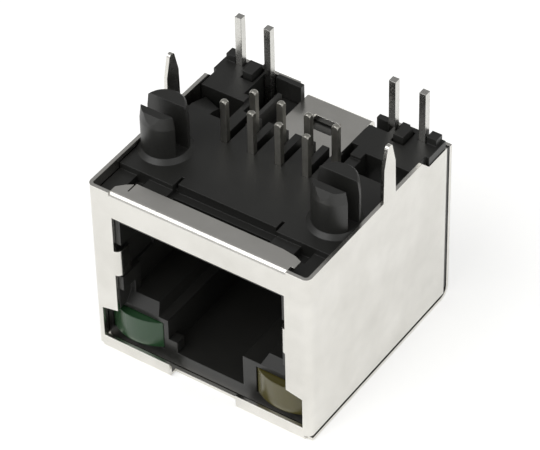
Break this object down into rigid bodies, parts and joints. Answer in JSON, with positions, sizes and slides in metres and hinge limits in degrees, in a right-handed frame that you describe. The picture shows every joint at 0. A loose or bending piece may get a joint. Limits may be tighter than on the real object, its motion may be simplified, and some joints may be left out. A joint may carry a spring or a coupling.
{
  "type": "shielded modular board jack",
  "caption": "Shielded modular jack for a circuit board, lying on its flat top with the solder tails, pegs and lamp leads up.",
  "frame": {"origin": "centre of the bounding box in plan, on the face it rests on (the shield's flat top panel)", "axes": "+Z along the solder tails towards the circuit board, -Y out of the plug's mouth, +X towards the yellow lamp"},
  "size_m": [0.0164, 0.0164, 0.018],
  "materials": {
    "shield_plating": "satin nickel plating on thin sheet",
    "black_resin": "semi-gloss moulded, glass filled",
    "contact_metal": "tinned, satin",
    "green_resin": "tinted, diffused",
    "yellow_resin": "tinted, diffused",
    "lead_metal": "bright tinned"
  },
  "bodies": {
    "root": {"shield": "shield_plating", "housing": "black_resin", "contact_insert": "black_resin", "contact_1": "contact_metal", "contact_2": "contact_metal", "contact_3": "contact_metal", "contact_4": "contact_metal", "contact_5": "contact_metal", "contact_6": "contact_metal", "contact_7": "contact_metal", "contact_8": "contact_metal", "lamp_green": "green_resin", "lamp_yellow": "yellow_resin", "lamp_green_outer_lead": "lead_metal", "lamp_green_inner_lead": "lead_metal", "lamp_yellow_inner_lead": "lead_metal", "lamp_yellow_outer_lead": "lead_metal"}
  },
  "joints": []
}
